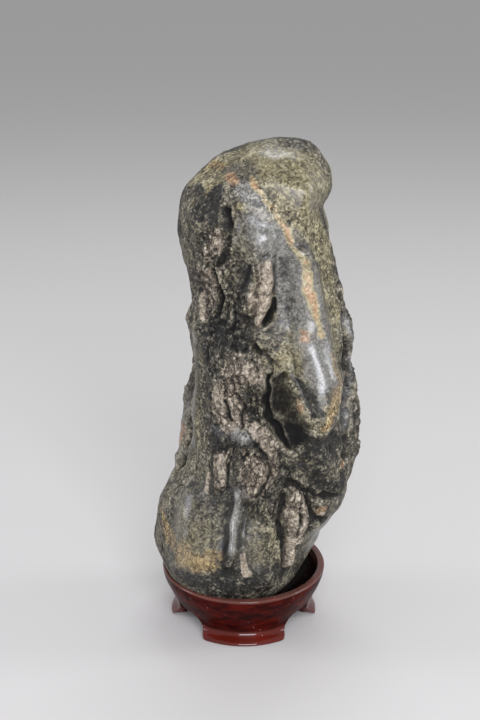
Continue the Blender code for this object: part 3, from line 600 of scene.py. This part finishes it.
def seatRadius(turn, height):
    # how far out the carved seat reaches: where a ray from the axis leaves the stone's ellipse at a height
    s = np.array(stone["sections"])
    left, right, front, back = (np.interp(height, s[:, 0], s[:, k]) for k in (1, 2, 3, 4))
    cx, cy = (left + right) / 2, (front + back) / 2
    a = (right - left) / 2 + stand["seatGap"]
    b = (back - front) / 2 + stand["seatGap"]
    dx, dy = np.sin(turn), -np.cos(turn) * stand["halfDepth"] / stand["halfWidth"]
    p = (dx / a) ** 2 + (dy / b) ** 2
    q = dx * cx / a ** 2 + dy * cy / b ** 2
    r = (cx / a) ** 2 + (cy / b) ** 2 - 1
    return np.where(height > s[0, 0], (q + np.sqrt(np.maximum(q * q - p * r, 0))) / p, 0.0)


def archLift(turn):
    # how high the lower edge rises at each turn: a smooth hump in the middle of each arch
    lift = np.zeros_like(turn)
    for middle, reach in stand["arches"]:
        away = np.abs((np.degrees(turn) - middle + 180) % 360 - 180) / reach
        lift = np.maximum(lift, stand["archHeight"] * smoothStep(0.98, 0.3, away))
    return lift[None, :]


def standProfile(turn, lift):
    # radius and height of each part's rings, from the middle of the dish over the lip to the hollow's roof
    rings, rim, hollow = stand["rings"], stand["rim"], stand["hollowRadius"]
    dish = np.array(stand["dish"])
    run = np.concatenate([[0], np.cumsum(np.hypot(*np.diff(dish, axis=0).T))])
    along = np.linspace(0, run[-1], rings["dish"])[:, None] + 0 * lift
    dishZ = curveThrough(along, run, dish[:, 1])
    dishR = np.maximum(curveThrough(along, run, dish[:, 0]), seatRadius(turn[None, :], dishZ))
    dishR[0] = 0.0

    # the lip: a flat top with a rounded corner on each side
    inner = dishR[-1:]
    outer = np.full_like(inner, stand["halfWidth"])
    corner = np.minimum(stand["lipCorner"], (outer - inner) * 0.35)
    bend = np.radians(np.linspace(0, 90, rings["corner"]))[:, None]
    innerR = inner + corner * (1 - np.cos(bend))
    innerZ = rim - corner + corner * np.sin(bend)
    outerR = outer - corner * (1 - np.sin(bend))
    outerZ = rim - corner + corner * np.cos(bend)

    # the wall: its profile cut off where the arches begin
    wall = np.array(stand["wall"])
    down = np.linspace(0, 1, rings["wall"])[:, None]
    wallZ = (rim - corner) + (lift - rim + corner) * down
    wallR = curveThrough(rim - wallZ, rim - wall[:, 1], wall[:, 0])

    # the soles, then the hollow's side and its roof, which the arches cut into
    inward = np.linspace(0, 1, rings["sole"])[1:, None]
    soleR = wallR[-1:] + (hollow - wallR[-1:]) * inward
    up = np.linspace(0, 1, rings["side"])[1:, None]
    sideZ = lift + np.maximum(stand["hollowTop"] - lift, 0) * up
    sideR = hollow - stand["hollowTaper"] * up ** 2 + 0 * lift
    across = np.linspace(1, 0, rings["roof"])[1:, None]
    roofR = (hollow - stand["hollowTaper"]) * across + 0 * lift
    roofZ = np.maximum(stand["hollowTop"], lift * smoothStep(23.0, 26.5, roofR))
    return {"dish": (dishR, dishZ), "innerLip": (innerR, innerZ), "outerLip": (outerR, outerZ),
            "wall": (wallR, wallZ), "sole": (soleR, lift + 0 * soleR), "side": (sideR, sideZ),
            "roof": (roofR, roofZ)}


def buildStand():
    # a turned profile stretched from front to back, its lower edge raised into three arches between the feet
    stretch = stand["halfDepth"] / stand["halfWidth"]
    turn = np.linspace(0, 2 * np.pi, stand["turns"], endpoint=False)
    parts = standProfile(turn, archLift(turn))
    radius = np.concatenate([r for r, z in parts.values()])
    height = np.concatenate([z for r, z in parts.values()])
    x, y = radius * np.sin(turn), -radius * np.cos(turn) * stretch
    points = np.stack([x, y, height], axis=-1)

    def ringShare(**shares):
        # one value for all the rings of each part that is named, and none for the others
        values = [np.full(len(r), shares.get(name, 0.0)) for name, (r, z) in parts.items()]
        return np.concatenate(values)[:, None]

    # hand carving: faint hollows and a slightly wavering edge, none on the soles
    carved = sum(depth * lumps(points, size, seed) for size, depth, seed in stand["carving"])
    carved = carved * smoothStep(0.0, 1.5, height)
    side = np.stack(np.broadcast_arrays(np.sin(turn), -np.cos(turn), 0 * height), axis=-1)
    onWall = ringShare(innerLip=0.3, outerLip=1.0, wall=1.0)
    points = points + side * (carved * onWall - stand["carvingInset"] * onWall)[..., None]

    # wear and a painted sheen on the lip and two or three rings to each side of it, painted shade down in
    # the dish, and the toe band
    lip = np.flatnonzero(ringShare(innerLip=1.0, outerLip=1.0))
    edgeWearAndSheen = np.zeros_like(height)
    edgeWearAndSheen[lip[0] - 3:lip[-1] + 3] = 1.0
    toe = smoothStep(6.0, 4.4, height) * smoothStep(29, 31, radius)
    shade = smoothStep(25.0, 21.0, height) * ringShare(dish=1.0)
    return closedSurface("carved_stand", points[::-1],
                         {"edgeWearAndSheen": edgeWearAndSheen[::-1], "toe": toe[::-1], "shade": shade[::-1]})


def newMaterial(name):
    # an empty node material
    material = bpy.data.materials.new(name)
    material.use_nodes = True
    material.node_tree.nodes.clear()
    return material, material.node_tree


def weighted(tree, start, *parts, clamp=False):
    # the start plus each value times its weight, held between 0 and 1 if clamped
    for value, weight in parts:
        start = addNode(tree, "ShaderNodeMath", {0: value, 1: weight, 2: start}, operation="MULTIPLY_ADD",
                        use_clamp=clamp)[0]
    return start


def laid(tree, under, over, value, low, high, strength, rise="SMOOTHSTEP"):
    # one colour over another: none of it where the value is low, as much as the strength where it is high
    limits = {"Value": value, "From Min": low, "From Max": high, "To Max": strength}
    covered = addNode(tree, "ShaderNodeMapRange", limits, interpolation_type=rise)[0]
    return addNode(tree, "ShaderNodeMix", {0: covered, 6: under, 7: over}, data_type="RGBA")[2]


waxed = {
    "speckSize": 0.85,  # mm, single grains
    # size in mm, detail, roughness, stretch and lean of the mottling at each scale
    "mottling": {
        "fibres": (0.9, 3.0, 0.65, (1, 1, 0.25), 0.12),  # along broken plates, drawn coarser than they are
        "grain": (2.6, 5.0, 0.75, (1, 1, 0.8), 0.35),  # clots of grains
        "fabric": (6.0, 6.0, 0.7, (1, 1, 0.5), 0.25),  # streaks of them
        "cloud": (8.0, 8.0, 0.75, (1, 1, 0.8), 0.0),
        "patch": (24.0, 3.0, 0.6, (1, 1, 1), 0.0)},
    "drift": (5.0, 4.0, 7.0),  # how the plates' outlines waver: size in mm, detail, reach in mm
    # width and crack in mm, and the mottling between whose two values the cracks open
    "plates": (5.0, 0.45, "cloud", 0.42, 0.56),
    "chips": (1.7, 0.3, "fabric", 0.5, 0.62),
    "upright": (1, 1, 0.45), "lean": 0.15,  # both are taller than wide, and lean a little
    "grains": (0.39, 0.455, 0.505, 0.555, 0.63),  # tones at which the five colours of a mineral mix lie
    # where each mix lies over the last: spread of its edge, low and high share, strength
    "layers": {
        "olive": (1.8, 0.35, 1.1, 0.6), "khaki": (1.8, 0.25, 0.85, 0.85), "blueGrey": (2.4, 0.3, 0.95, 0.72),
        "black": (1.6, 0.35, 0.7, 0.9), "yellow": (2.2, 0.3, 1.0, 0.8), "vein": (1.0, 0.1, 0.6, 0.85)},
    # the same grain drawn in the colours of each mineral mix, from the darkest grains to the lightest
    "colours": {
        "base": ("#0f0e0b", "#26231d", "#433f35", "#625c4e", "#918a7a"),
        "khaki": ("#272217", "#4a432f", "#6c6449", "#8a8265", "#aca488"),
        "blueGrey": ("#363532", "#52514c", "#686763", "#7e7c77", "#9a9892"),
        "olive": ("#1b1911", "#383425", "#575140", "#787159", "#a19a7e"),
        "tan": ("#433b33", "#665c4f", "#837767", "#998c7b", "#b9ae9d"),
        "black": ("#050504", "#0c0c0a", "#171613", "#302d27", "#6b6658"),
        "yellow": ("#231b11", "#4a3c26", "#6f5d3d", "#907b54", "#baa678"),
        "orange": ("#3f2e20", "#6e4f37", "#906c4c", "#a98764", "#c4ae90"),
        "vein": ("#4a4030", "#70654a", "#8f8463", "#a59b7b", "#beb69c")},
    # colours of the painted shade in what lies low, in hollows and in wider recesses, and of the dark seams
    # and cracks between broken plates
    "wornLow": "#0b0a09", "seam": "#0d0b0a", "crack": "#0b0908", "hollow": "#0f0c09", "paintedRecessShade": "#100f0e",
    "ior": 1.5, "specular": 0.28, "waxRoughness": 0.27, "bumpStrength": 0.9, "bumpHeight": 0.8}


def waxedStone():
    # dense dark rock with pale grains, rubbed and waxed: wet-looking where it stands out, matt and dusty
    # where it flakes; the mineral mixes are laid over each other where their zones and the mottling say
    material, tree = newMaterial("waxed_amphibolite")
    place = addNode(tree, "ShaderNodeTexCoord", {})["Object"]
    zone = {name: addNode(tree, "ShaderNodeAttribute", {}, attribute_name=name)["Fac"]
            for name in (*stone["zones"], "flaking", "broken", "plated", "worn", "hollow", "paintedRecessShade")}
    mottling = {}
    for name, (size, detail, rough, stretch, lean) in waxed["mottling"].items():
        where = addNode(tree, "ShaderNodeMapping", {0: place, "Rotation": (0, lean, 0), "Scale": stretch})[0]
        settings = {"Vector": where, "Scale": perMm(size), "Detail": detail, "Roughness": rough}
        mottling[name] = addNode(tree, "ShaderNodeTexNoise", settings)[0]
    grain, fabric, cloud, patch = (mottling[name] for name in ("grain", "fabric", "cloud", "patch"))
    crystals = addNode(tree, "ShaderNodeTexVoronoi", {"Vector": place, "Scale": perMm(waxed["speckSize"])})
    speck = addNode(tree, "ShaderNodeSeparateColor", {0: crystals["Color"]})[0]

    # broken plates, taller than wide and of uneven outline
    size, detail, reach = waxed["drift"]
    drift = addNode(tree, "ShaderNodeTexNoise", {"Vector": place, "Scale": perMm(size), "Detail": detail})
    drift = addNode(tree, "ShaderNodeVectorMath", {0: drift["Color"], 1: (0.5, 0.5, 0.5)},
                    operation="SUBTRACT")[0]
    drift = addNode(tree, "ShaderNodeVectorMath", {0: drift, 1: (reach * mm,) * 3, 2: place},
                    operation="MULTIPLY_ADD")[0]
    upright = addNode(tree, "ShaderNodeMapping", {0: drift, "Rotation": (0, waxed["lean"], 0),
                                                  "Scale": waxed["upright"]})[0]

    def brokenInto(width, crack, name, low, high):
        # two random values for each plate, and the crack at its edge, open only where the mottling is high
        cell = {"Vector": upright, "Scale": perMm(width)}
        inside = addNode(tree, "ShaderNodeTexVoronoi", cell)["Color"]
        values = addNode(tree, "ShaderNodeSeparateColor", {0: inside})
        edge = addNode(tree, "ShaderNodeTexVoronoi", cell, feature="DISTANCE_TO_EDGE")["Distance"]
        depth = 1.0
        for value, least, most in ((mottling[name], low, high), (edge, crack / width, 0.15 * crack / width)):
            limits = {"Value": value, "From Min": least, "From Max": most, "To Max": depth}
            depth = addNode(tree, "ShaderNodeMapRange", limits, interpolation_type="SMOOTHSTEP")[0]
        return values[0], values[1], depth

    plateShade, plateHue, plateCrack = brokenInto(*waxed["plates"])
    chipShade, chipHue, chipCrack = brokenInto(*waxed["chips"])
    crack = addNode(tree, "ShaderNodeMath", {0: plateCrack, 1: chipCrack}, operation="MAXIMUM")[0]
    crack = weighted(tree, 0.0, (crack, zone["flaking"]))
    plateTone = weighted(tree, -0.07, (plateShade, 0.09), (chipShade, 0.05))
    plateTone = weighted(tree, 0.0, (plateTone, zone["flaking"]))

    # the tone of the grain, lighter where the small relief stands out and darker where it lies low, as
    # painted light and shade; wax fills the grain, so that it stands out less on the rubbed parts
    tone = weighted(tree, -0.46, (speck, 0.16), (grain, 0.33), (fabric, 0.21), (plateTone, 1.0),
                    (zone["worn"], 0.12), (patch, 0.1))
    tone = weighted(tree, 0.5, (tone, weighted(tree, 1.0, (zone["polished"], -0.4))))
    mineral = {name: addNode(tree, "ShaderNodeValToRGB", {0: tone}, tuple(zip(waxed["grains"], colours)))[0]
               for name, colours in waxed["colours"].items()}

    def clouded(name, spread):
        # the zone's share, its edge broken up by the rock's own cloudiness
        return weighted(tree, -spread / 2, (cloud, spread), (zone[name], 1.0))

    tan = weighted(tree, 0.0, (zone["tan"], 1.0), (zone["flaking"], 0.12), (cloud, 0.8), (plateHue, 0.35),
                   (chipHue, 0.2))
    rust = weighted(tree, 0.0, (grain, 1.2), (cloud, 1.8), (zone["vein"], 1.0))
    dark = weighted(tree, 0.0, (patch, 0.5), (fabric, 0.5))
    colour = laid(tree, mineral["base"], mineral["khaki"], cloud, 0.44, 0.66, 0.32)
    colour = laid(tree, colour, mineral["black"], dark, 0.5, 0.42, 0.28)
    for name, (spread, *limits) in waxed["layers"].items():
        colour = laid(tree, colour, mineral[name], clouded(name, spread), *limits)
    colour = laid(tree, colour, mineral["tan"], tan, 0.95, 1.25, 0.8)
    colour = laid(tree, colour, mineral["orange"], rust, 2.25, 2.5, 0.75)
    colour = laid(tree, colour, mineral["orange"], clouded("orange", 1.9), 0.3, 1.0, 0.6)

    # painted shade in what lies low, in the hollows and in wider recesses; dark seams and cracks round
    # broken plates
    colour = laid(tree, colour, waxed["wornLow"], zone["worn"], 0.36, 0.1, 0.5)
    for name, value, strength in (("seam", zone["broken"], 0.5), ("crack", crack, 0.75),
                                  ("hollow", zone["hollow"], 0.85)):
        colour = laid(tree, colour, waxed[name], value, 0.0, 1.0, strength, "LINEAR")
    colour = laid(tree, colour, waxed["paintedRecessShade"], zone["paintedRecessShade"], 0.6, 1.0, 0.3)

    matt = weighted(tree, 1.0, (zone["polished"], -0.7), (zone["plated"], -0.5), clamp=True)
    height = weighted(tree, 0.0, (speck, 0.1), (grain, 0.6), (fabric, 0.5))
    fibres = weighted(tree, 0.0, (mottling["fibres"], zone["flaking"]))
    height = weighted(tree, 0.0, (height, matt), (fibres, 0.75), (plateTone, 8.0), (crack, -0.9))
    bump = addNode(tree, "ShaderNodeBump", {"Height": height, "Strength": waxed["bumpStrength"],
                                            "Distance": waxed["bumpHeight"] * mm})[0]
    shader = addNode(tree, "ShaderNodeBsdfPrincipled", {
        "Base Color": colour,
        "Roughness": weighted(tree, 0.4, (zone["polished"], -0.38), (fabric, 0.3), (speck, 0.1),
                              (zone["hollow"], 0.4), clamp=True),
        "Coat Weight": weighted(tree, 0.0, (zone["polished"], 0.5), (zone["blueGrey"], 0.5)),
        "IOR": waxed["ior"], "Specular IOR Level": waxed["specular"],
        "Coat Roughness": waxed["waxRoughness"], "Normal": bump, "Coat Normal": bump})
    addNode(tree, "ShaderNodeOutputMaterial", {"Surface": shader[0]})
    return material


lacquered = {
    "streak": (1, 1, 3.2),  # the brush marks run level, so the mottling is squeezed in height
    "mottleSize": 11.0, "poreSize": 1.6, "dustSize": 2.6,  # mm
    "depths": ((0.34, "#1a0504"), (0.47, "#2a0907"), (0.58, "#3a0c08"), (0.72, "#4c130b")),
    "toe": "#5a170b", "wearAndSheen": "#7c5348", "shade": "#070202", "dust": "#b9a79c",
    "ior": 1.45, "specular": 0.03, "coatRoughness": 0.06, "bumpStrength": 0.35, "bumpHeight": 0.4}


def lacquer():
    # carved hardwood under brushed red-brown lacquer: deep, mottled and glossy, thinner and redder on the
    # toe and lip, with pale specks of dust, a painted sheen on the lip and painted shade in the dish; the
    # mottling picks the depth of the lacquer's colour
    material, tree = newMaterial("red_brown_lacquer")
    place = addNode(tree, "ShaderNodeTexCoord", {})["Object"]
    streaks = addNode(tree, "ShaderNodeMapping", {0: place, "Scale": lacquered["streak"]})[0]
    mottle = addNode(tree, "ShaderNodeTexNoise", {"Vector": streaks, "Scale": perMm(lacquered["mottleSize"]),
                                                  "Detail": 4.0, "Roughness": 0.6, "Distortion": 0.6})[0]
    pores = addNode(tree, "ShaderNodeTexNoise", {"Vector": streaks, "Scale": perMm(lacquered["poreSize"]),
                                                 "Detail": 3.0})[0]
    dust = addNode(tree, "ShaderNodeTexVoronoi", {"Vector": place, "Scale": perMm(lacquered["dustSize"])})
    toe, wearAndSheen, shade = (addNode(tree, "ShaderNodeAttribute", {}, attribute_name=name)["Fac"]
                        for name in ("toe", "edgeWearAndSheen", "shade"))
    speck = addNode(tree, "ShaderNodeMath", {0: dust["Distance"], 1: 0.09}, operation="LESS_THAN")[0]
    settled = addNode(tree, "ShaderNodeMath", {0: mottle, 1: 0.52}, operation="GREATER_THAN")[0]
    speck = weighted(tree, 0.0, (speck, settled))

    colour = addNode(tree, "ShaderNodeValToRGB", {0: mottle}, lacquered["depths"])[0]
    # toe colour, the lip's wear with its painted sheen, painted shade down in the dish, and dust
    for name, value, strength in (("toe", toe, 0.5), ("wearAndSheen", wearAndSheen, 0.35), ("shade", shade, 0.85),
                                  ("dust", speck, 0.5)):
        colour = laid(tree, colour, lacquered[name], value, 0.0, 1.0, strength, "LINEAR")
    bump = addNode(tree, "ShaderNodeBump", {"Height": weighted(tree, mottle, (pores, 0.25)),
                                            "Strength": lacquered["bumpStrength"],
                                            "Distance": lacquered["bumpHeight"] * mm})[0]
    shader = addNode(tree, "ShaderNodeBsdfPrincipled", {
        "Base Color": colour,
        "Roughness": weighted(tree, 0.26, (mottle, 0.15)),
        "Coat Weight": weighted(tree, 0.03, (toe, 0.7), (wearAndSheen, 0.4)),
        "IOR": lacquered["ior"], "Specular IOR Level": lacquered["specular"],
        "Coat Roughness": lacquered["coatRoughness"], "Normal": bump})
    addNode(tree, "ShaderNodeOutputMaterial", {"Surface": shader[0]})
    return material


stage = {
    "floorHalf": 6.0, "floorColour": "#bbb8b4", "floorRoughness": 0.6,
    "sky": "#eff1f5", "skyStrength": 0.66,
    "lampTarget": 0.12}  # metres above the floor, the middle of the stone
view = {"side": -1.75, "away": 670.8, "up": 322.2, "downwards": 16.3, "lens": 75.0, "filmHeight": 36.0}
lamps = {
    # turn to the right of the camera, degrees up, distance, width, height (m), watts, colour
    "window": (7, 22, 1.5, 0.8, 1.05, 33, "#f4f6ff"),
    "ceiling": (170, 62, 1.3, 0.6, 0.4, 5, "#f6f8ff"),
    "rightFill": (95, 18, 1.4, 0.5, 0.9, 8, "#f4f7ff"),
    "leftFill": (-95, 18, 1.4, 0.5, 0.9, 7, "#f1f3ff")}


def buildStage():
    # a square floor of plain painted board under an even pale sky
    mesh = bpy.data.meshes.new("floor")
    half = stage["floorHalf"]
    corners = [(-half, -half, 0), (half, -half, 0), (half, half, 0), (-half, half, 0)]
    mesh.from_pydata(corners, [], [(0, 1, 2, 3)])
    floor = bpy.data.objects.new("floor", mesh)
    bpy.context.scene.collection.objects.link(floor)
    material, tree = newMaterial("matt_pale_board")  # painted, plain so that nothing competes with the stone
    shader = addNode(tree, "ShaderNodeBsdfPrincipled",
                     {"Base Color": stage["floorColour"], "Roughness": stage["floorRoughness"]})
    addNode(tree, "ShaderNodeOutputMaterial", {"Surface": shader[0]})
    mesh.materials.append(material)
    world = bpy.data.worlds.new("studio")
    world.use_nodes = True
    world.node_tree.nodes["Background"].inputs["Color"].default_value = linear(stage["sky"])
    world.node_tree.nodes["Background"].inputs["Strength"].default_value = stage["skyStrength"]
    bpy.context.scene.world = world


def buildLamps():
    # rectangular lamps on a sphere round the target, each turned to face it
    target = Vector((standAxis[0], standAxis[1], stage["lampTarget"]))
    for name, (turn, rise, distance, width, height, watts, colour) in lamps.items():
        light = bpy.data.lights.new(name, "AREA")
        light.shape = "RECTANGLE"
        light.size = width
        light.size_y = height
        light.energy = watts
        light.color = linear(colour)[:3]
        a, e = math.radians(turn), math.radians(rise)
        away = Vector((math.sin(a) * math.cos(e), -math.cos(a) * math.cos(e), math.sin(e)))
        lamp = bpy.data.objects.new(name, light)
        bpy.context.scene.collection.objects.link(lamp)
        lamp.location = target + away * distance
        lamp.rotation_euler = away.to_track_quat("Z", "Y").to_euler()


def buildCamera():
    # a short telephoto lens in front of the stand, above it and tilted down
    lens = bpy.data.cameras.new("view")
    lens.sensor_fit = "VERTICAL"
    lens.sensor_height = view["filmHeight"]
    lens.lens = view["lens"]
    lens.clip_end = 50
    camera = bpy.data.objects.new("view", lens)
    bpy.context.scene.collection.objects.link(camera)
    camera.location = (standAxis[0] + view["side"] * mm, standAxis[1] - view["away"] * mm, view["up"] * mm)
    camera.rotation_euler = (math.radians(90 - view["downwards"]), 0, 0)
    bpy.context.scene.camera = camera


buildCamera()
buildStage()
buildLamps()
print("camera, stage and lamps placed")

stonePiece = buildStone()
stonePiece.data.materials.append(waxedStone())
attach(stonePiece, "root")
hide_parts("stone")
print("stone built:", len(stonePiece.data.polygons), "faces")

standPiece = buildStand()
standPiece.data.materials.append(lacquer())
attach(standPiece, "root")
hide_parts("stand")
print("stand built:", len(standPiece.data.polygons), "faces")

bpy.context.scene.view_settings.view_transform = "Standard"
